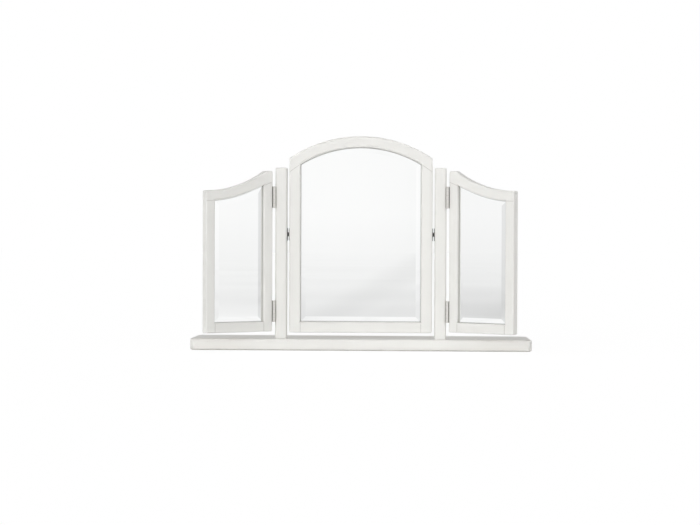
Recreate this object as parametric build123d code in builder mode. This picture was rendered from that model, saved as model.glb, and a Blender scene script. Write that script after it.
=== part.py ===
from build123d import *
import math
import os

# Dressing table mirror. A base board carries two posts at its front edge. An arched centre mirror tilts
# between the posts on two pivots, and a narrower swept wing mirror folds forward from each post on two
# butt hinges. X runs across the mirror, Y from the viewer to the wall and Z up. The origin is the middle
# of the space that the resting mirror takes up, on the table top. Sizes are in millimetres and degrees.

# Base board
base_width = 820
base_depth = 150
base_thickness = 28
base_corner_radius = 14
base_edge_rounding = 5

# Posts
post_size = 28
post_height = 410
post_rounding = 5
post_top_rounding = 2.5
post_dowel_spacing = 16

# Frame section, which all three mirrors share
frame_thickness = 20
frame_edge_rounding = 3
frame_corner_rounding = 4
sight_rounding = 4.5
lip_depth = 8
glass_rebate = 5
panel_rebate = 10
groove_width = 0.9
groove_depth = 0.8

# Bevelled mirror glass and the panel behind it
glass_thickness = 4
bevel_showing = 12.5
bevel_drop = 2
panel_thickness = 4
edge_play = 0.5
seat_play = 0.05

# Centre mirror
centre_width = 343
centre_side_height = 418
centre_height = 471
centre_stile = 27
centre_top_rail = 27
centre_bottom_rail = 26
centre_lift = 15

# Wing mirrors
wing_width = 179
wing_inner_height = 384.5
wing_outer_height = 334.5
wing_stile = 24
wing_top_rail = 24
wing_bottom_rail = 24
wing_flat_top = 18
wing_straight_length = 62
wing_lift = 17.5
wing_rest_angle = 35

# Butt hinges
hinge_length = 51
hinge_low_height = 48.5
hinge_joint_gap = 12
hinge_leaf_width = 20
hinge_leaf_thickness = 1.6
hinge_pin_radius = 1.5
hinge_pin_dome = 0.6
hinge_knuckle_radius = 3.5
hinge_knuckle_count = 5
hinge_knuckle_play = 0.15
hinge_leaf_play = 0.4
hinge_wood_gap = 2.2
hinge_stand_out = 2.5
hinge_screw_spacing = 17
hinge_screw_rows = (9.5, 14.5, 9.5)

# Tilt pivots
pivot_gap = 5.5
pivot_plate_width = 14
pivot_plate_height = 30
pivot_plate_thickness = 1.2
pivot_cone_radius = 6.8
pivot_waist_radius = 4.2
pivot_waist_play = 0.2
pivot_stud_radius = 2.2
pivot_rivet_radius = 3.8
pivot_rivet_thickness = 1.5
pivot_head_radius = 4.2
pivot_head_thickness = 1.5
pivot_washer_thickness = 0.8
pivot_pocket_play = 0.8
pivot_screw_spacing = 21

# Fasteners
dowel_radius = 3
dowel_length = 24
dowel_chamfer = 0.5
hinge_screw_radius = 1.4
hinge_screw_head_radius = 2.9
hinge_screw_length = 13
pivot_screw_radius = 0.9
pivot_screw_head_radius = 1.9
pivot_screw_length = 10
panel_screw_radius = 1.2
panel_screw_head_radius = 2.3
panel_screw_head_height = 1.5
panel_screw_length = 9
post_screw_radius = 2.5
post_screw_head_radius = 4.8
post_screw_length = 60
post_screw_sink = 3
countersink_angle = 90
cross_slot_length = 1.2
cross_slot_width = 0.28
cross_slot_depth = 0.3

# Clearances
running_play = 0.05
hole_play = 0.05
end_play = 0.5
cut_margin = 1

# Worked-out sizes
sides = {"left": -1, "right": 1}
arch_rise = centre_height - centre_side_height
arch_radius = ((centre_width / 2) ** 2 + arch_rise**2) / (2 * arch_rise)
arch_centre = centre_height - arch_radius
sweep_rise = wing_inner_height - wing_outer_height
sweep_run = wing_width - wing_flat_top
sweep_radius = (sweep_run**2 + sweep_rise**2) / (2 * sweep_rise)
sweep_centre = wing_outer_height + sweep_radius
joint_radius = sweep_radius + wing_top_rail
ledge_middle = (glass_rebate + panel_rebate) / 2
bevel_width = bevel_showing + glass_rebate - edge_play
glass_depth = lip_depth - bevel_drop * bevel_showing / bevel_width + seat_play
panel_depth = glass_depth + glass_thickness + seat_play
pivot_cone_height = (pivot_gap - pivot_waist_play) / 2 - pivot_plate_thickness
knuckle_pitch = (hinge_length + hinge_knuckle_play) / hinge_knuckle_count



def sweep_height(radius, x):
    """Height of a wing's swept curve of some radius at a distance from the wing's inner side."""
    return sweep_centre - math.sqrt(radius**2 - (wing_width - x) ** 2)


def straight_height(radius, x):
    """Height of the straight run that meets such a curve at a distance from the wing's inner side."""
    run = wing_width - wing_straight_length
    slope = run / math.sqrt(radius**2 - run**2)
    return sweep_height(radius, wing_straight_length) + slope * (wing_straight_length - x)


# Worked-out places
post_inner_x = centre_width / 2 + pivot_gap
post_x = post_inner_x + post_size / 2
pin_x = post_inner_x + post_size + hinge_wood_gap
rest = math.radians(wing_rest_angle)
tip_reach = (hinge_wood_gap + wing_width - frame_edge_rounding) * math.sin(rest)
tip_setback = (hinge_stand_out + frame_edge_rounding) * math.cos(rest) - frame_edge_rounding
back_reach = base_depth - base_edge_rounding + hinge_stand_out
pin_y = (tip_reach - tip_setback - back_reach) / 2
post_front_y = pin_y + hinge_stand_out
post_y = post_front_y + post_size / 2
base_y = post_front_y - base_edge_rounding + base_depth / 2
centre_bottom_z = base_thickness + centre_lift
wing_bottom_z = base_thickness + wing_lift
pivot_z = centre_bottom_z + centre_height / 2
hinge_high_height = straight_height(joint_radius, 0) - hinge_joint_gap - hinge_length / 2
hinge_heights = {"lower": wing_bottom_z + hinge_low_height, "upper": wing_bottom_z + hinge_high_height}


def keep(piece, name):
    """Label a finished piece and write its file."""
    piece.part.label = name
    export_step(piece.part, f"parts/{name}.step")


def turned_screw(profile, head_radius, head_top):
    """A screw turned from half its profile, pointing down, with a cross in proportion to its head."""
    length = head_radius * cross_slot_length
    width = head_radius * cross_slot_width
    with BuildPart() as screw:
        with BuildSketch(Plane.XZ):
            with BuildLine():
                Polyline(*profile, close=True)
            make_face()
        revolve(axis=Axis.Z)
        with BuildSketch(Plane.XY.offset(head_top)):
            Rectangle(length, width)
            Rectangle(width, length)
        extrude(amount=-head_radius * cross_slot_depth, mode=Mode.SUBTRACT)
    return screw.part


def countersunk_screw(radius, length, head_radius):
    """A wood screw with its flat head level with the origin."""
    shoulder = radius - head_radius
    profile = [(0, 0), (head_radius, 0), (radius, shoulder), (radius, radius - length), (0, -length)]
    return turned_screw(profile, head_radius, 0)


def pan_screw(radius, length, head_radius, head_height):
    """A wood screw with a low head, round its top edge, standing on the origin."""
    profile = [
        (0, head_height),
        (head_radius - head_height / 2, head_height),
        (head_radius, head_height / 2),
        (head_radius, 0),
        (radius, 0),
        (radius, radius - length),
        (0, -length),
    ]
    return turned_screw(profile, head_radius, head_height)


def pilot_holes(seats, radius, length):
    """Cut a screw's own hole at each seat, a little deeper than the screw."""
    with Locations(*seats):
        Hole(radius + hole_play, length + end_play)


def countersunk_holes(seats, radius, head_radius, depth):
    """Cut a clearance hole for a countersunk screw at each seat."""
    with Locations(*seats):
        CounterSinkHole(radius + hole_play, head_radius + hole_play, depth, countersink_angle)


def dowel_holes(seats):
    """Cut a dowel's hole through each joint, a little longer than the dowel."""
    with Locations(*seats):
        Cylinder(dowel_radius + hole_play, dowel_length + 2 * end_play, mode=Mode.SUBTRACT)


def group_of(piece, seats, name):
    """Place a copy of one fastener at each seat and keep them together."""
    with BuildPart() as group:
        with Locations(*seats):
            add(piece)
    keep(group, name)


with BuildPart() as dowel_blank:
    Cylinder(dowel_radius, dowel_length)
    chamfer(dowel_blank.edges(), dowel_chamfer)
dowel = dowel_blank.part

hinge_screw = countersunk_screw(hinge_screw_radius, hinge_screw_length, hinge_screw_head_radius)
pivot_screw = countersunk_screw(pivot_screw_radius, pivot_screw_length, pivot_screw_head_radius)
post_screw = countersunk_screw(post_screw_radius, post_screw_length, post_screw_head_radius)
panel_screw = pan_screw(
    panel_screw_radius, panel_screw_length, panel_screw_head_radius, panel_screw_head_height
)


# Seats of the fasteners on the base, the posts and the pivots

post_screw_seats = [
    Plane(origin=(side * post_x, post_y, post_screw_sink), z_dir=(0, 0, -1)) for side in sides.values()
]
post_dowel_seats = [
    Plane(origin=(side * post_x, post_y + row * post_dowel_spacing / 2, base_thickness))
    for side in sides.values()
    for row in (-1, 1)
]


def hinge_frame(side, height, angle):
    """Plane at the foot of a hinge pin: x across a leaf that is turned by an angle, z along the pin."""
    turn = math.radians(angle)
    foot = (side * pin_x, pin_y, height - hinge_length / 2)
    return Plane(origin=foot, x_dir=(side * math.sin(turn), math.cos(turn), 0), z_dir=(0, 0, 1))


def leaf_seats(frame, toward_wood):
    """Screw seats on a hinge leaf's open face."""
    face = toward_wood * (hinge_wood_gap - hinge_leaf_thickness)
    outward = frame.y_dir * -toward_wood
    rows = [-hinge_screw_spacing, 0, hinge_screw_spacing]
    return [
        Plane(origin=frame.from_local_coords((across, face, hinge_length / 2 + row)), z_dir=outward)
        for across, row in zip(hinge_screw_rows, rows)
    ]


def pivot_frame(side, from_post):
    """Plane on the pivot's line, on the post's or the centre frame's face, with z into the gap."""
    x = side * (post_inner_x if from_post else centre_width / 2)
    into_gap = -side if from_post else side
    return Plane(origin=(x, post_y, pivot_z), x_dir=(0, into_gap, 0), z_dir=(into_gap, 0, 0))


def plate_seats(frame):
    """Screw seats on a pivot plate's face."""
    face = frame.offset(pivot_plate_thickness)
    return [
        Plane(origin=face.from_local_coords((0, row * pivot_screw_spacing / 2, 0)), z_dir=face.z_dir)
        for row in (-1, 1)
    ]


post_hinge_seats = {
    name: [seat for z in hinge_heights.values() for seat in leaf_seats(hinge_frame(side, z, 0), side)]
    for name, side in sides.items()
}
wing_hinge_seats = {
    name: [
        seat
        for z in hinge_heights.values()
        for seat in leaf_seats(hinge_frame(side, z, wing_rest_angle), -side)
    ]
    for name, side in sides.items()
}
post_plate_seats = {name: plate_seats(pivot_frame(side, True)) for name, side in sides.items()}
frame_plate_seats = {name: plate_seats(pivot_frame(side, False)) for name, side in sides.items()}


def base_board():
    """Flat board with round corners, bored from below for the posts' screws."""
    with BuildPart() as board:
        with BuildSketch(Plane(origin=(0, base_y, 0))):
            RectangleRounded(base_width, base_depth, base_corner_radius)
        extrude(amount=base_thickness)
        rims = board.faces().sort_by(Axis.Z)
        fillet(rims[0].edges() + rims[-1].edges(), base_edge_rounding)
        dowel_holes(post_dowel_seats)
        countersunk_holes(post_screw_seats, post_screw_radius, post_screw_head_radius, base_thickness)
    return board


def post(name, side):
    """Square post with round edges, drilled for its screw, dowels, hinges and pivot."""
    with BuildPart() as upright:
        with BuildSketch(Plane.XY.offset(base_thickness)):
            with Locations((side * post_x, post_y)):
                Rectangle(post_size, post_size)
        extrude(amount=post_height)
        fillet(upright.edges().filter_by(Axis.Z), post_rounding)
        fillet(upright.faces().sort_by(Axis.Z)[-1].edges(), post_top_rounding)
        dowel_holes(post_dowel_seats)
        pilot_holes(post_screw_seats, post_screw_radius, post_screw_length)
        pilot_holes(post_hinge_seats[name], hinge_screw_radius, hinge_screw_length)
        pilot_holes(post_plate_seats[name], pivot_screw_radius, pivot_screw_length)
        with BuildSketch(pivot_frame(side, True)):
            Circle(pivot_head_radius + pivot_pocket_play)
        extrude(
            amount=-(pivot_washer_thickness + pivot_head_thickness + pivot_pocket_play), mode=Mode.SUBTRACT
        )
    return upright


os.makedirs("parts", exist_ok=True)

keep(base_board(), "base_board")
for name, side in sides.items():
    keep(post(name, side), f"{name}_post")
group_of(post_screw, post_screw_seats, "post_screws")
group_of(dowel, post_dowel_seats, "post_dowels")


def arched_outline(side_inset, bottom_inset, top_inset):
    """The centre frame's outline taken in from its edges, on a plane whose origin is its bottom middle."""
    half = centre_width / 2 - side_inset
    radius = arch_radius - top_inset
    spring = arch_centre + math.sqrt(radius**2 - half**2)
    with BuildSketch() as outline:
        with BuildLine():
            Polyline((-half, spring), (-half, bottom_inset), (half, bottom_inset), (half, spring))
            ThreePointArc((half, spring), (0, arch_centre + radius), (-half, spring))
        make_face()
    return outline.sketch


def arched_opening(grow):
    """The centre frame's sight opening, grown on all sides for a rebate."""
    return arched_outline(centre_stile - grow, centre_bottom_rail - grow, centre_top_rail - grow)


def arched_joints():
    """Joint lines on the centre frame's face: the inner arc right across, and each end of the bottom rail."""
    half = centre_width / 2 + cut_margin
    radius = arch_radius - centre_top_rail
    end = arch_centre + math.sqrt(radius**2 - half**2)
    stile_x = centre_width / 2 - centre_stile
    with BuildLine() as lines:
        ThreePointArc((-half, end), (0, arch_centre + radius), (half, end))
        for side in sides.values():
            Line((side * stile_x, -cut_margin), (side * stile_x, centre_bottom_rail))
    return lines.line


def arched_rail_region():
    """Everything above the centre frame's inner arc."""
    half = centre_width / 2 + cut_margin
    radius = arch_radius - centre_top_rail
    end = arch_centre + math.sqrt(radius**2 - half**2)
    top = centre_height + cut_margin
    with BuildSketch() as region:
        with BuildLine():
            ThreePointArc((-half, end), (0, arch_centre + radius), (half, end))
            Polyline((half, end), (half, top), (-half, top), (-half, end))
        make_face()
    return region.sketch


def upright_region(low_x, high_x, height):
    """A tall strip of a frame's face, from below the frame up to a height."""
    with BuildSketch() as region:
        with Locations(((low_x + high_x) / 2, (height - cut_margin) / 2)):
            Rectangle(high_x - low_x, height + cut_margin)
    return region.sketch


def inner_sweep(grow, low_x, high_x, side):
    """A wing top rail's lower line: straight near the hinges, then a curve that ends level."""
    radius = joint_radius - grow
    curve_end = min(high_x, wing_width)
    middle = (wing_straight_length + curve_end) / 2
    start, centre, end = [
        (side * x, sweep_height(radius, x)) for x in (wing_straight_length, middle, curve_end)
    ]
    with BuildLine() as line:
        Line((side * low_x, straight_height(radius, low_x)), start)
        ThreePointArc(start, centre, end)
        if high_x > wing_width:
            Line(end, (side * high_x, end[1]))
    return line.line


def swept_outline(side):
    """A wing's outline on a plane whose origin is its inner bottom corner."""
    middle = (wing_width + wing_flat_top) / 2
    with BuildSketch() as outline:
        with BuildLine():
            Polyline(
                (side * wing_flat_top, wing_inner_height),
                (0, wing_inner_height),
                (0, 0),
                (side * wing_width, 0),
                (side * wing_width, wing_outer_height),
            )
            ThreePointArc(
                (side * wing_width, wing_outer_height),
                (side * middle, sweep_height(sweep_radius, middle)),
                (side * wing_flat_top, wing_inner_height),
            )
        make_face()
    return outline.sketch


def swept_opening(grow, side):
    """A wing's sight opening, grown on all sides for a rebate."""
    low_x = wing_stile - grow
    high_x = wing_width - low_x
    bottom = wing_bottom_rail - grow
    top = inner_sweep(grow, low_x, high_x, side)
    with BuildSketch() as opening:
        with BuildLine():
            add(top)
            Polyline(top @ 1, (side * high_x, bottom), (side * low_x, bottom), top @ 0)
        make_face()
    return opening.sketch


def swept_joints(side):
    """Joint lines on a wing's face: its inner sweep right across, and each end of the bottom rail."""
    with BuildLine() as lines:
        add(inner_sweep(0, -cut_margin, wing_width + cut_margin, side))
        for x in (wing_stile, wing_width - wing_stile):
            Line((side * x, -cut_margin), (side * x, wing_bottom_rail))
    return lines.line


def swept_rail_region(side):
    """Everything above a wing's inner sweep."""
    low = inner_sweep(0, -cut_margin, wing_width + cut_margin, side)
    top = wing_inner_height + cut_margin
    with BuildSketch() as region:
        with BuildLine():
            add(low)
            Polyline(low @ 1, ((low @ 1).X, top), ((low @ 0).X, top), low @ 0)
        make_face()
    return region.sketch


def frame_blank(front, outline, opening, joints):
    """A whole frame: rebated behind for its glass and panel, rounded in front, its joint lines cut in."""
    back = front.offset(-frame_thickness)
    forward = Axis(front.origin, front.z_dir)
    with BuildPart() as blank:
        with BuildSketch(front) as face:
            add(outline)
            fillet(face.vertices(), frame_corner_rounding)
        extrude(amount=-frame_thickness)
        for depth, grow in ((0, 0), (lip_depth, glass_rebate), (panel_depth, panel_rebate)):
            with BuildSketch(front.offset(-depth)):
                add(opening(grow))
            extrude(amount=depth - frame_thickness, mode=Mode.SUBTRACT)
        fillet(blank.faces().sort_by(forward)[-1].inner_wires()[0].edges(), sight_rounding)
        faces = blank.faces().sort_by(forward)
        fillet(faces[0].outer_wire().edges() + faces[-1].outer_wire().edges(), frame_edge_rounding)
        for plane, cut in ((front, -groove_depth), (back, groove_depth)):
            with BuildSketch(plane):
                trace(joints, groove_width)
            extrude(amount=cut, mode=Mode.SUBTRACT)
    return blank.part


def cut_frame(frame, front, region, mode=Mode.INTERSECT):
    """The stretch of a frame that lies inside a region of its face, or what is left outside it."""
    with BuildPart() as piece:
        add(frame)
        with BuildSketch(front.offset(cut_margin)):
            add(region)
        extrude(amount=-frame_thickness - 2 * cut_margin, mode=mode)
    return piece


def bevelled_glass(front, outline):
    """Mirror glass whose long bevel runs in under the frame's lip."""
    with BuildPart() as glass:
        with BuildSketch(front.offset(-glass_depth)):
            add(outline)
        extrude(amount=-glass_thickness)
        face = glass.faces().sort_by(Axis(front.origin, front.z_dir))[-1]
        chamfer(face.edges(), bevel_width, bevel_drop, reference=face)
    return glass


def back_panel(front, outline, screw_seats):
    """Flat panel that screws to the frame's ledge and holds the glass in."""
    with BuildPart() as panel:
        with BuildSketch(front.offset(-panel_depth)):
            add(outline)
        extrude(amount=-panel_thickness)
        with Locations(*screw_seats):
            Hole(panel_screw_radius + hole_play, panel_thickness)
    return panel


def panel_seats(front, spots):
    """Screw seats on the panel's open face, at spots given on the frame's face."""
    depth = panel_depth + panel_thickness
    return [Plane(origin=front.from_local_coords((x, z, -depth)), z_dir=-front.z_dir) for x, z in spots]


def joint_seats(front, upright_spots, level_spots):
    """Dowel seats at mid thickness: upright ones under the top rail and level ones at the bottom rail."""
    depth = frame_thickness / 2
    ways = [(spot, front.y_dir) for spot in upright_spots] + [(spot, front.x_dir) for spot in level_spots]
    return [Plane(origin=front.from_local_coords((x, z, -depth)), z_dir=way) for (x, z), way in ways]


def spread(low, high, count):
    """Evenly spaced places between two limits, without the limits themselves."""
    return [low + (high - low) * (step + 1) / (count + 1) for step in range(count)]


# Centre mirror

centre_front = Plane(
    origin=(0, post_y - frame_thickness / 2, centre_bottom_z), x_dir=(1, 0, 0), z_dir=(0, -1, 0)
)
centre_half = centre_width / 2
centre_sight = centre_half - centre_stile
centre_dowel_x = centre_half - (centre_stile - panel_rebate) / 2
centre_joint_radius = arch_radius - centre_top_rail
centre_dowel_z = arch_centre + math.sqrt(centre_joint_radius**2 - centre_dowel_x**2)
centre_dowel_seats = joint_seats(
    centre_front,
    [(side * centre_dowel_x, centre_dowel_z) for side in sides.values()],
    [(side * centre_sight, (centre_bottom_rail - panel_rebate) / 2) for side in sides.values()],
)
centre_screw_radius = centre_joint_radius + ledge_middle
centre_screw_spots = [
    (side * (centre_sight + ledge_middle), z)
    for side in sides.values()
    for z in spread(centre_bottom_rail, centre_side_height - centre_top_rail, 3)
]
centre_screw_spots += [
    (x, centre_bottom_rail - ledge_middle) for x in spread(-centre_sight, centre_sight, 2)
]
centre_screw_spots += [
    (x, arch_centre + math.sqrt(centre_screw_radius**2 - x**2))
    for x in spread(-centre_sight, centre_sight, 3)
]
centre_screw_seats = panel_seats(centre_front, centre_screw_spots)

with BuildPart() as centre_frame:
    add(frame_blank(centre_front, arched_outline(0, 0, 0), arched_opening, arched_joints()))
    dowel_holes(centre_dowel_seats)
    pilot_holes(centre_screw_seats, panel_screw_radius, panel_screw_length)
    for name, side in sides.items():
        pilot_holes(frame_plate_seats[name], pivot_screw_radius, pivot_screw_length)
        with BuildSketch(pivot_frame(side, False)):
            Circle(pivot_rivet_radius + pivot_pocket_play)
        extrude(amount=-pivot_rivet_thickness - pivot_pocket_play, mode=Mode.SUBTRACT)

keep(cut_frame(centre_frame.part, centre_front, arched_rail_region()), "centre_arched_rail")
centre_rest = cut_frame(centre_frame.part, centre_front, arched_rail_region(), Mode.SUBTRACT).part
for name, side in sides.items():
    low_x, high_x = sorted((side * centre_sight, side * (centre_half + cut_margin)))
    stile = cut_frame(centre_rest, centre_front, upright_region(low_x, high_x, centre_height))
    keep(stile, f"centre_{name}_stile")
between = upright_region(-centre_sight, centre_sight, centre_side_height / 2)
keep(cut_frame(centre_rest, centre_front, between), "centre_bottom_rail")
keep(bevelled_glass(centre_front, arched_opening(glass_rebate - edge_play)), "centre_glass")
panel_outline = arched_opening(panel_rebate - edge_play)
keep(back_panel(centre_front, panel_outline, centre_screw_seats), "centre_back_panel")
group_of(panel_screw, centre_screw_seats, "centre_panel_screws")
group_of(dowel, centre_dowel_seats, "centre_dowels")


# Wing mirrors


def wing_plane(side):
    """Plane on a resting wing's front face, with its origin at the inner bottom corner."""
    outward = Vector(side * math.cos(rest), -math.sin(rest), 0)
    backward = Vector(side * math.sin(rest), math.cos(rest), 0)
    pin = Vector(side * pin_x, pin_y, wing_bottom_z)
    corner = pin + outward * hinge_wood_gap + backward * hinge_stand_out
    return Plane(origin=corner, x_dir=outward * side, z_dir=-backward)


def wing_mirror(name, side):
    """All the pieces of one wing except its hinges."""
    front = wing_plane(side)
    wall = wing_stile - panel_rebate
    far = wing_width - wing_stile
    dowel_seats = joint_seats(
        front,
        [
            (side * wall / 2, straight_height(joint_radius, wall / 2)),
            (side * (wing_width - wall / 2), sweep_height(joint_radius, wing_width - wall / 2)),
        ],
        [(side * x, (wing_bottom_rail - panel_rebate) / 2) for x in (wing_stile, far)],
    )
    ledge_radius = joint_radius - ledge_middle
    spots = [
        (side * x, z)
        for x in (wing_stile - ledge_middle, far + ledge_middle)
        for z in spread(wing_bottom_rail, wing_outer_height - wing_top_rail, 3)
    ]
    spots += [(side * x, wing_bottom_rail - ledge_middle) for x in spread(wing_stile, far, 2)]
    spots += [(side * x, sweep_height(ledge_radius, x)) for x in spread(wing_straight_length, far, 2)]
    screw_seats = panel_seats(front, spots)

    def opening(grow):
        return swept_opening(grow, side)

    with BuildPart() as wing_frame:
        add(frame_blank(front, swept_outline(side), opening, swept_joints(side)))
        dowel_holes(dowel_seats)
        pilot_holes(screw_seats, panel_screw_radius, panel_screw_length)
        pilot_holes(wing_hinge_seats[name], hinge_screw_radius, hinge_screw_length)

    rail_region = swept_rail_region(side)
    keep(cut_frame(wing_frame.part, front, rail_region), f"{name}_wing_swept_rail")
    wing_rest = cut_frame(wing_frame.part, front, rail_region, Mode.SUBTRACT).part
    stretches = {
        "inner_stile": (-cut_margin, wing_stile, wing_inner_height),
        "outer_stile": (far, wing_width + cut_margin, wing_inner_height),
        "bottom_rail": (wing_stile, far, wing_outer_height / 2),
    }
    for stretch, (near_x, far_x, height) in stretches.items():
        low_x, high_x = sorted((side * near_x, side * far_x))
        region = upright_region(low_x, high_x, height)
        keep(cut_frame(wing_rest, front, region), f"{name}_wing_{stretch}")
    keep(bevelled_glass(front, opening(glass_rebate - edge_play)), f"{name}_wing_glass")
    keep(back_panel(front, opening(panel_rebate - edge_play), screw_seats), f"{name}_wing_back_panel")
    group_of(panel_screw, screw_seats, f"{name}_wing_panel_screws")
    group_of(dowel, dowel_seats, f"{name}_wing_dowels")


for name, side in sides.items():
    wing_mirror(name, side)


# Butt hinges


def hinge_leaf(frame, toward_wood, knuckles, bore_radius):
    """Hinge leaf screwed flat to the wood, with its own share of the knuckles round the pin."""
    plate_start = hinge_knuckle_radius + hinge_leaf_play
    plate_middle = toward_wood * (hinge_wood_gap - hinge_leaf_thickness / 2)
    with BuildPart() as leaf:
        with BuildSketch(frame):
            with Locations(((plate_start + hinge_leaf_width) / 2, plate_middle)):
                Rectangle(hinge_leaf_width - plate_start, hinge_leaf_thickness)
        extrude(amount=hinge_length)
        across = leaf.edges().filter_by(Axis(frame.origin, frame.y_dir))
        fillet(across.sort_by(Axis(frame.origin, frame.x_dir))[-2:], hinge_leaf_thickness)
        for knuckle in knuckles:
            with BuildSketch(frame.offset(knuckle * knuckle_pitch)):
                Circle(hinge_knuckle_radius)
                with Locations((plate_start / 2, plate_middle)):
                    Rectangle(plate_start, hinge_leaf_thickness)
            extrude(amount=knuckle_pitch - hinge_knuckle_play)
        with BuildSketch(frame):
            Circle(bore_radius)
        extrude(amount=hinge_length, mode=Mode.SUBTRACT)
        seats = leaf_seats(frame, toward_wood)
        countersunk_holes(seats, hinge_screw_radius, hinge_screw_head_radius, hinge_leaf_thickness)
    return leaf


def hinge_pin(frame):
    """Plain pin a little longer than its hinge, with round ends."""
    with BuildPart() as pin:
        with BuildSketch(frame.offset(-hinge_pin_dome)):
            Circle(hinge_pin_radius)
        extrude(amount=hinge_length + 2 * hinge_pin_dome)
        fillet(pin.edges().filter_by(GeomType.CIRCLE), hinge_pin_dome)
    return pin


for name, side in sides.items():
    for level, z in hinge_heights.items():
        closed = hinge_frame(side, z, 0)
        turned = hinge_frame(side, z, wing_rest_angle)
        post_knuckles = range(0, hinge_knuckle_count, 2)
        wing_knuckles = range(1, hinge_knuckle_count, 2)
        post_leaf = hinge_leaf(closed, side, post_knuckles, hinge_pin_radius)
        wing_leaf = hinge_leaf(turned, -side, wing_knuckles, hinge_pin_radius + running_play)
        keep(post_leaf, f"{name}_{level}_hinge_post_leaf")
        keep(wing_leaf, f"{name}_{level}_hinge_wing_leaf")
        keep(hinge_pin(closed), f"{name}_{level}_hinge_pin")
    group_of(hinge_screw, post_hinge_seats[name], f"{name}_post_hinge_screws")
    group_of(hinge_screw, wing_hinge_seats[name], f"{name}_wing_hinge_screws")


# Tilt pivots


def pivot_plate(frame, bore_radius):
    """Long plate with a low cone on it, screwed to the wood on each side of its bore."""
    cone_foot = frame.offset(pivot_plate_thickness)
    with BuildPart() as plate:
        with BuildSketch(frame):
            SlotOverall(pivot_plate_height, pivot_plate_width, rotation=90)
        extrude(amount=pivot_plate_thickness)
        with BuildSketch(cone_foot):
            Circle(pivot_cone_radius)
        with BuildSketch(cone_foot.offset(pivot_cone_height)):
            Circle(pivot_waist_radius)
        loft()
        with BuildSketch(frame):
            Circle(bore_radius)
        extrude(amount=pivot_plate_thickness + pivot_cone_height, mode=Mode.SUBTRACT)
        seats = plate_seats(frame)
        countersunk_holes(seats, pivot_screw_radius, pivot_screw_head_radius, pivot_plate_thickness)
    return plate


def pivot_stud(frame):
    """Stud riveted to the centre frame's plate, with its head behind the post's plate."""
    head_start = pivot_gap + pivot_washer_thickness + 2 * running_play
    stretches = [
        (-pivot_rivet_thickness, 0, pivot_rivet_radius),
        (0, head_start, pivot_stud_radius),
        (head_start, head_start + pivot_head_thickness, pivot_head_radius),
    ]
    with BuildPart() as stud:
        for start, end, radius in stretches:
            with BuildSketch(frame.offset(start)):
                Circle(radius)
            extrude(amount=end - start)
    return stud


def pivot_washer(frame):
    """Spring washer between the stud's head and the back of the post's plate."""
    with BuildPart() as washer:
        with BuildSketch(frame.offset(pivot_gap + running_play)):
            Circle(pivot_head_radius)
            Circle(pivot_stud_radius + 2 * running_play, mode=Mode.SUBTRACT)
        extrude(amount=pivot_washer_thickness)
    return washer


for name, side in sides.items():
    on_post = pivot_frame(side, True)
    on_frame = pivot_frame(side, False)
    keep(pivot_plate(on_post, pivot_stud_radius + running_play), f"{name}_pivot_post_plate")
    keep(pivot_plate(on_frame, pivot_stud_radius), f"{name}_pivot_frame_plate")
    keep(pivot_stud(on_frame), f"{name}_pivot_stud")
    keep(pivot_washer(on_frame), f"{name}_pivot_washer")
group_of(pivot_screw, post_plate_seats["left"] + post_plate_seats["right"], "pivot_post_screws")
group_of(pivot_screw, frame_plate_seats["left"] + frame_plate_seats["right"], "pivot_frame_screws")
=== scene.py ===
import math

import bpy
from mathutils import Matrix, Vector

# Dressing table mirror: satin paint, silvered glass, metal and wood for its pieces, a pale floor, soft light
# and a camera at the photograph's angle. Lengths are in metres: x runs across, y to the back and z up.

# How far the two wings stand forward of the centre mirror
WING_TURN = math.radians(35)

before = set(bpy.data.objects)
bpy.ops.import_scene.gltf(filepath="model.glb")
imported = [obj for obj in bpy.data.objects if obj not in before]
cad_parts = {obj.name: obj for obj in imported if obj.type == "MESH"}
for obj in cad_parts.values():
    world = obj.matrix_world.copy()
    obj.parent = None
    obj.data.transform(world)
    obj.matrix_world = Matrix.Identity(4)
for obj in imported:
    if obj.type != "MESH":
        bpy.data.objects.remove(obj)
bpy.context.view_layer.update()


class Value:
    """A number or colour that varies over a surface. An expression on values adds the Math nodes it needs."""

    def __init__(self, finish, socket):
        self.finish = finish
        self.socket = socket

    def combine(self, operation, first, second):
        return self.finish.node("ShaderNodeMath", {"operation": operation}, {0: first, 1: second})

    def __add__(self, other):
        return self.combine("ADD", self, other)

    def __sub__(self, other):
        return self.combine("SUBTRACT", self, other)

    def __rsub__(self, other):
        return self.combine("SUBTRACT", other, self)

    def __mul__(self, other):
        return self.combine("MULTIPLY", self, other)

    def __truediv__(self, other):
        return self.combine("DIVIDE", self, other)

    def __rtruediv__(self, other):
        return self.combine("DIVIDE", other, self)

    def __pow__(self, other):
        return self.combine("POWER", self, other)

    __radd__ = __add__
    __rmul__ = __mul__


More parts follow.
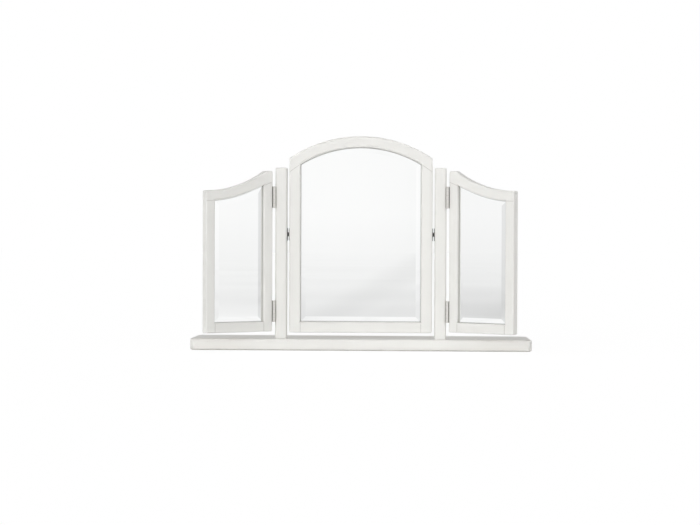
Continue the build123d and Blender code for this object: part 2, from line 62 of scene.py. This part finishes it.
class Finish:
    """The nodes of one material, or of the world."""

    def __init__(self, owner):
        self.owner = owner
        owner.use_nodes = True
        self.tree = owner.node_tree
        self.tree.nodes.clear()

    def node(self, kind, settings=None, inputs=None, output=0):
        """Add a node, set it up, feed its sockets with numbers or values, and return one of its outputs."""
        made = self.tree.nodes.new(kind)
        for key, setting in (settings or {}).items():
            if key == "stops":
                ramp = made.color_ramp
                for stop in setting[len(ramp.elements):]:
                    ramp.elements.new(stop[0])
                for element, (place, level) in zip(ramp.elements, setting):
                    element.position = place
                    element.color = (level, level, level, 1)
            else:
                setattr(made, key, setting)
        for key, given in (inputs or {}).items():
            if isinstance(given, Value):
                self.tree.links.new(given.socket, made.inputs[key])
            else:
                made.inputs[key].default_value = given
        return Value(self, made.outputs[output]) if made.outputs else None

    def place(self):
        """Where a point lies on the object, in metres, whatever pose the object is in."""
        return self.node("ShaderNodeTexCoord", output="Object")

    def stretched(self, stretch, turn=0.0):
        """The same place, turned about the upright and scaled each way, for grain and brush lines."""
        turned = self.node(
            "ShaderNodeMapping", {"vector_type": "POINT"}, {"Vector": self.place(), "Rotation": (0, 0, turn)}
        )
        return self.node("ShaderNodeMapping", {"vector_type": "POINT"}, {"Vector": turned, "Scale": stretch})

    def noise(self, where, scale, detail=3.0, roughness=0.55, distortion=0.0):
        """Soft irregular tone, with about so many spots to the metre."""
        return self.node(
            "ShaderNodeTexNoise",
            {"noise_dimensions": "3D"},
            {
                "Vector": where,
                "Scale": scale,
                "Detail": detail,
                "Roughness": roughness,
                "Distortion": distortion,
            },
        )

    def colours(self, share, first, second):
        """A colour between two others. The first may be a colour that varies already."""
        return self.node(
            "ShaderNodeMix",
            {"data_type": "RGBA", "clamp_factor": True},
            {0: share, 6: (*first, 1) if isinstance(first, tuple) else first, 7: (*second, 1)},
            output=2,
        )

    def ramp(self, value, stops):
        """A level read off a row of stops, each a place and its level."""
        return self.node("ShaderNodeValToRGB", {"stops": stops}, {0: value})

    def clamped(self, value):
        """The value, held between 0 and 1."""
        return self.node("ShaderNodeClamp", {}, {0: value})

    def closeness(self, reach):
        """How close other surfaces are, within a reach: high in joint lines and in tight corners."""
        return 1 - self.node("ShaderNodeAmbientOcclusion", {"samples": 8}, {"Distance": reach}, output="AO")

    def relief(self, height, depth):
        """Surface relief of some depth in metres."""
        return self.node("ShaderNodeBump", {}, {"Height": height, "Distance": depth})

    def surface(self, **inputs):
        """Finish the material with one surface."""
        names = {key.replace("_", " "): given for key, given in inputs.items()}
        shader = self.node("ShaderNodeBsdfPrincipled", {}, names)
        self.node("ShaderNodeOutputMaterial", {}, {"Surface": shader})
        return self.owner


def new_finish(name):
    return Finish(bpy.data.materials.new(name))


# Grain and polishing lines are long in the direction whose number is small: up each stile and post, along
# each rail and the base board, and up the hinge leaves. Plain metal has none.
UP_THE_STILE = (1.0, 1.0, 0.03)
ALONG_THE_RAIL = (0.03, 1.0, 1.0)
UP_THE_HINGE = (1.0, 1.0, 0.05)
BEECH_GRAIN = (1.0, 1.0, 0.08)
WIPED_DOWN = (1.0, 1.0, 0.4)
PLAIN = (1.0, 1.0, 1.0)

# How far the painted shade reaches out of joint lines and inside corners, round the glass and in metal seams
JOINT_LINE = 0.0025
INSIDE_CORNER = 0.012
GLASS_RIM = 0.003
METAL_SEAM = 0.002

# Colours, from the dull parts of each finish to the bright ones
PAINT_DULL = (0.802, 0.794, 0.760)
PAINT_BRIGHT = (0.882, 0.876, 0.846)
# Painted shade: the paint's colour in joint lines and inside corners, where shade falls
PAINT_SHADE_IN_JOINTS = (0.44, 0.42, 0.385)
GLASS_HAZY = (0.970, 0.978, 0.974)
GLASS_CLEAR = (0.988, 0.992, 0.989)
# Painted shade where the glass meets its frame, with the darker edge of the silvering
GLASS_EDGE_AND_SHADE = (0.30, 0.30, 0.29)
NICKEL_DULL = (0.72, 0.705, 0.675)
NICKEL_BRIGHT = (0.87, 0.855, 0.825)
STEEL_DULL = (0.10, 0.098, 0.095)
STEEL_BRIGHT = (0.20, 0.195, 0.19)
ZINC_DULL = (0.46, 0.46, 0.45)
ZINC_BRIGHT = (0.62, 0.62, 0.605)
# Painted shade: the metal's colour in seams and knuckle gaps, where shade falls
METAL_SHADE_IN_SEAMS = (0.06, 0.058, 0.055)
HARDBOARD_DARK = (0.235, 0.140, 0.075)
HARDBOARD_LIGHT = (0.430, 0.285, 0.165)
BEECH_DARK = (0.50, 0.32, 0.17)
BEECH_LIGHT = (0.70, 0.49, 0.29)


def satin_paint(name, stretch, turn=0.0):
    """Off-white satin paint over planed wood: faint grain and brush lines, a slightly uneven tone, and
    painted shade in joint lines and inside corners.
    """
    f = new_finish(name)
    along = f.stretched(stretch, turn)
    grain = f.noise(along, scale=260, detail=4, roughness=0.6)
    brush = f.noise(along, scale=900, detail=2, roughness=0.5)
    cloud = f.noise(f.place(), scale=9, detail=2)
    speck = f.noise(f.place(), scale=700, detail=1)
    worked = f.colours(cloud * 0.45 + grain * 0.55, PAINT_DULL, PAINT_BRIGHT)
    # Painted shade: the paint is darker where other surfaces are close, in joint lines and inside corners
    shade = f.closeness(JOINT_LINE) * 0.95 + f.closeness(INSIDE_CORNER) * 0.4
    return f.surface(
        Base_Color=f.colours(shade, worked, PAINT_SHADE_IN_JOINTS),
        Roughness=0.30 + grain * 0.12 + cloud * 0.08,
        Normal=f.relief(grain * 0.6 + brush * 0.3 + speck * 0.1, depth=0.0003),
    )


def mirror_glass(name):
    """Silvered glass, with the faint haze that a wiped mirror keeps, darker where it meets its frame: painted
    shade, with the darker edge of the silvering.
    """
    f = new_finish(name)
    haze = f.noise(f.stretched(WIPED_DOWN), scale=14, detail=4, roughness=0.6, distortion=0.4)
    silvered = f.colours(haze, GLASS_HAZY, GLASS_CLEAR)
    return f.surface(
        # Painted shade and the darker silvering edge, where the glass meets its frame
        Base_Color=f.colours(f.closeness(GLASS_RIM) * 0.8, silvered, GLASS_EDGE_AND_SHADE),
        Metallic=1.0,
        Roughness=0.004 + haze * 0.02,
    )


def brushed_metal(name, dull, bright, rough, stretch):
    """Plated or darkened steel with fine polishing lines, a cloudy tone and painted shade in its seams."""
    f = new_finish(name)
    lines = f.noise(f.stretched(stretch), scale=2600, detail=2)
    cloud = f.noise(f.place(), scale=180, detail=3)
    polished = f.colours(lines * 0.5 + cloud * 0.5, dull, bright)
    return f.surface(
        # Painted shade, darker where other surfaces are close, in seams and knuckle gaps
        Base_Color=f.colours(f.closeness(METAL_SEAM) * 1.1, polished, METAL_SHADE_IN_SEAMS),
        Metallic=1.0,
        Roughness=rough + lines * 0.14,
        Normal=f.relief(lines, depth=0.00003),
    )


def hardboard(name):
    """Pressed wood fibre: brown, smooth and finely flecked."""
    f = new_finish(name)
    fibre = f.noise(f.place(), scale=1300, detail=4, roughness=0.7, distortion=0.6)
    fleck = f.noise(f.place(), scale=420, detail=3, roughness=0.6)
    cloud = f.noise(f.place(), scale=12, detail=2)
    tone = f.ramp(fibre * 0.45 + fleck * 0.3 + cloud * 0.25, [(0.32, 0.0), (0.68, 1.0)])
    return f.surface(
        Base_Color=f.colours(tone, HARDBOARD_DARK, HARDBOARD_LIGHT),
        Roughness=0.62 + fleck * 0.2,
        Normal=f.relief(fibre * 0.7 + fleck * 0.3, depth=0.00025),
    )


def beech(name):
    """Plain turned beech with short grain."""
    f = new_finish(name)
    grain = f.noise(f.stretched(BEECH_GRAIN), scale=700, detail=3)
    return f.surface(
        Base_Color=f.colours(grain, BEECH_DARK, BEECH_LIGHT),
        Roughness=0.5 + grain * 0.2,
        Normal=f.relief(grain, depth=0.0001),
    )


upright_paint = satin_paint("satin_paint_upright", UP_THE_STILE)
level_paint = satin_paint("satin_paint_level", ALONG_THE_RAIL)
left_rail_paint = satin_paint("satin_paint_left_wing_rails", ALONG_THE_RAIL, -WING_TURN)
right_rail_paint = satin_paint("satin_paint_right_wing_rails", ALONG_THE_RAIL, WING_TURN)
silvered_glass = mirror_glass("silvered_glass")
satin_nickel = brushed_metal("satin_nickel", NICKEL_DULL, NICKEL_BRIGHT, rough=0.28, stretch=UP_THE_HINGE)
dark_steel = brushed_metal("dark_steel", STEEL_DULL, STEEL_BRIGHT, rough=0.34, stretch=PLAIN)
zinc_plate = brushed_metal("zinc_plate", ZINC_DULL, ZINC_BRIGHT, rough=0.30, stretch=PLAIN)
brown_hardboard = hardboard("hardboard")
dowel_beech = beech("beech")


def finish_of(node):
    """The finish of a piece, by its name."""
    if node.endswith("glass"):
        return silvered_glass
    if node.endswith("back_panel"):
        return brown_hardboard
    if node.endswith("dowels"):
        return dowel_beech
    if "hinge" in node:
        return satin_nickel
    if "pivot" in node:
        return dark_steel
    if node.endswith("screws"):
        return zinc_plate
    if node.endswith(("post", "stile")):
        return upright_paint
    if node.startswith("left_wing"):
        return left_rail_paint
    if node.startswith("right_wing"):
        return right_rail_paint
    return level_paint


for node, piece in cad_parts.items():
    piece.data.materials.clear()
    piece.data.materials.append(finish_of(node))


# Floor, room and light

# A painted reflection of a white room, seen only in mirrors: how bright it looks, going round from behind
# the object by its left, its front and its right, where 1 is once round. Its darker places are painted in.
PAINTED_ROOM_REFLECTION = [
    (0.0, 0.87),
    (0.25, 0.92),
    (0.278, 0.95),
    (0.325, 0.95),
    (0.353, 0.80),
    (0.385, 0.95),
    (0.453, 0.98),
    (0.489, 0.99),
    (0.499, 0.985),
    (0.502, 0.955),
    (0.512, 0.965),
    (0.539, 1.0),
    (0.60, 0.96),
    (0.639, 1.01),
    (0.685, 0.96),
    (0.714, 0.79),
    (0.78, 0.84),
    (1.0, 0.87),
]

# The painted room reflection is a little darker low down, near the floor. The height is a share of the
# distance.
ROOM_AT_FLOOR = 0.96
ROOM_ABOVE = 0.995
DARKER_LOW_HEIGHT = 1 / 45

# How bright the floor's painted reflection looks in a mirror, against its nearness: 1 at the object and 0
# very far off
FLOOR = [
    (0.0, 0.96),
    (0.032, 0.945),
    (0.074, 0.925),
    (0.125, 0.91),
    (0.19, 0.86),
    (0.27, 0.825),
    (0.36, 0.83),
    (0.5, 0.96),
    (1.0, 0.98),
]

# In the mirrors, the floor's painted reflection is darker on the left than on the right, except in its even
# middle, and drifts in patches about two metres wide.
DARKER_ON_THE_LEFT = 1.8
EVEN_MIDDLE = 0.1
PATCHES_TO_THE_METRE = 0.45
PATCH_DEPTH = 1.2

# One soft darker band is painted into the floor's reflection, running forward a little left of the middle.
# It slants, and it is wider further off.
REFLECTED_BAND_TO_THE_LEFT = 0.215
REFLECTED_BAND_SLANT = 0.0335
REFLECTED_BAND_HALF_WIDTH = 0.1
REFLECTED_BAND_WIDENING = 0.025
REFLECTED_BAND_DEPTH = 0.06

# To the camera, most of the floor's tone is a white glow, and the rest is paint that takes the shadow.
# The glow is a little over 1, so that the two together come out white.
FLOOR_REACH = 60
FLOOR_PAINT = (0.9, 0.9, 0.9, 1)
FLOOR_GLOW = 1.13
GLOW_SHARE = 0.8

# The light is low and broad. It comes mostly from the front, turned this far to the left, with some from
# behind and a little from all round. A higher fall keeps it nearer to the ground.
LIGHT_TURN = math.radians(14.3)
FRONT_LIGHT = 9.3
FRONT_FALL = 8
BACK_LIGHT = 0.9
BACK_FALL = 2
ALL_ROUND_LIGHT = 0.40


def light_kinds(f):
    """Whether a ray comes from the camera, a glossy surface or a clear one."""
    kinds = ("Is Camera Ray", "Is Glossy Ray", "Is Transmission Ray")
    return [f.node("ShaderNodeLightPath", output=kind) for kind in kinds]


def parts_of(f, vector):
    """The three numbers of a vector: across, back and up."""
    return [f.node("ShaderNodeSeparateXYZ", {}, {0: vector}, output=number) for number in range(3)]


def painted_reflection_in(f, across, back):
    """How bright the painted room reflection looks in a mirror, in a direction."""
    turn = f.node("ShaderNodeMath", {"operation": "ARCTAN2"}, {0: across, 1: 0 - back})
    return f.ramp(turn * (0.5 / math.pi) + 0.5, PAINTED_ROOM_REFLECTION)


def painted_floor_reflection(f):
    """How bright the floor's painted reflection looks in a mirror."""
    across, back = parts_of(f, f.place())[:2]
    distance = f.node("ShaderNodeVectorMath", {"operation": "LENGTH"}, {0: f.place()}, output="Value")
    nearness = 1 / (distance + 1)
    side = across / (distance + EVEN_MIDDLE) * nearness
    patch = f.noise(f.place(), scale=PATCHES_TO_THE_METRE, detail=1) - 0.5
    depth = (1 - f.ramp(nearness, FLOOR)) * (1 - side * DARKER_ON_THE_LEFT + patch * PATCH_DEPTH)
    from_reflected_band = across + back * REFLECTED_BAND_SLANT + REFLECTED_BAND_TO_THE_LEFT
    from_reflected_band = from_reflected_band / (distance * REFLECTED_BAND_WIDENING + REFLECTED_BAND_HALF_WIDTH)
    reflected_band = f.clamped(1 - from_reflected_band * from_reflected_band)
    return painted_reflection_in(f, across, back) * (1 - depth) * (1 - reflected_band * reflected_band * REFLECTED_BAND_DEPTH)


def pale_floor():
    """A wide white floor that keeps the object's shadow. Mirrors see a painted reflection of it, a little
    darker a few metres off.
    """
    mesh = bpy.data.meshes.new("floor")
    sides = (-FLOOR_REACH, FLOOR_REACH)
    mesh.from_pydata([(x, y, 0) for x in sides for y in sides], [], [(0, 2, 3, 1)])
    floor = bpy.data.objects.new("floor", mesh)
    bpy.context.scene.collection.objects.link(floor)
    f = new_finish("pale_floor")
    camera, glossy, clear = light_kinds(f)
    # Painted reflection: away from the camera, the floor glows with this pattern where a mirror sees it
    glow = camera * FLOOR_GLOW + (1 - camera) * painted_floor_reflection(f)
    bright = f.node("ShaderNodeEmission", {}, {"Color": glow})
    painted = f.node("ShaderNodeBsdfDiffuse", {}, {"Color": FLOOR_PAINT})
    share = camera * GLOW_SHARE + glossy + clear
    mixed = f.node("ShaderNodeMixShader", {}, {0: share, 1: painted, 2: bright})
    f.node("ShaderNodeOutputMaterial", {}, {"Surface": mixed})
    mesh.materials.append(f.owner)


def white_world():
    """White to look at; mirrors see the painted room reflection. The light it sheds comes mostly from low
    down in front.
    """
    world = bpy.data.worlds.new("studio")
    bpy.context.scene.world = world
    f = Finish(world)
    camera, glossy, clear = light_kinds(f)
    across, back, height = parts_of(f, f.node("ShaderNodeTexCoord", output="Generated"))
    low = 1 - f.clamped(height)
    toward_light = across * -math.sin(LIGHT_TURN) + back * -math.cos(LIGHT_TURN)
    in_front = f.clamped(toward_light) * low ** FRONT_FALL
    behind = f.clamped(0 - toward_light) * low ** BACK_FALL
    shed = in_front * FRONT_LIGHT + behind * BACK_LIGHT + ALL_ROUND_LIGHT
    above = f.clamped(height / DARKER_LOW_HEIGHT)
    # Painted reflection: what the mirrors see of the world
    mirrored = painted_reflection_in(f, across, back) * (above * (ROOM_ABOVE - ROOM_AT_FLOOR) + ROOM_AT_FLOOR)
    watched = camera + glossy + clear
    level = camera + glossy * mirrored + clear + shed * (1 - watched)
    glow = f.node("ShaderNodeBackground", {}, {"Color": level})
    f.node("ShaderNodeOutputWorld", {}, {"Surface": glow})


def soft_sun(name, toward, strength, spread):
    """A broad soft light that shines from a direction and doesn't show in the mirrors."""
    data = bpy.data.lights.new(name, "SUN")
    data.energy = strength
    data.angle = math.radians(spread)
    lamp = bpy.data.objects.new(name, data)
    lamp.rotation_euler = Vector(toward).to_track_quat("Z", "Y").to_euler()
    lamp.visible_glossy = False
    bpy.context.scene.collection.objects.link(lamp)


pale_floor()
white_world()
soft_sun("front_left_light", toward=(-0.34, -0.94, 0.6), strength=0.15, spread=40)


# The camera is fitted to the edges of the object in the photograph. It stands right of the middle and looks
# a little to the left. Its lens is in pixels of the photograph, and its sensor in millimetres.
PHOTO_WIDTH = 700
LENS_IN_PIXELS = 1476.3
SENSOR_WIDTH = 36
CAMERA_PLACE = (0.0962, -3.5519, 0.2478)
TURNED_LEFT = math.radians(1.97)
TIPPED_DOWN = math.radians(0.59)
ROLLED = math.radians(0.21)
CAMERA_REACH = 200


def photo_camera():
    """A camera with the photograph's place, angle and lens."""
    data = bpy.data.cameras.new("camera")
    data.sensor_fit = "HORIZONTAL"
    data.sensor_width = SENSOR_WIDTH
    data.lens = SENSOR_WIDTH * LENS_IN_PIXELS / PHOTO_WIDTH
    data.clip_end = CAMERA_REACH
    camera = bpy.data.objects.new("camera", data)
    turned = Matrix.Rotation(TURNED_LEFT, 4, "Z")
    tipped = Matrix.Rotation(math.pi / 2 - TIPPED_DOWN, 4, "X")
    rolled = Matrix.Rotation(ROLLED, 4, "Z")
    camera.matrix_world = Matrix.Translation(CAMERA_PLACE) @ turned @ tipped @ rolled
    bpy.context.scene.collection.objects.link(camera)
    bpy.context.scene.camera = camera


photo_camera()

bpy.context.scene.view_settings.view_transform = "Standard"
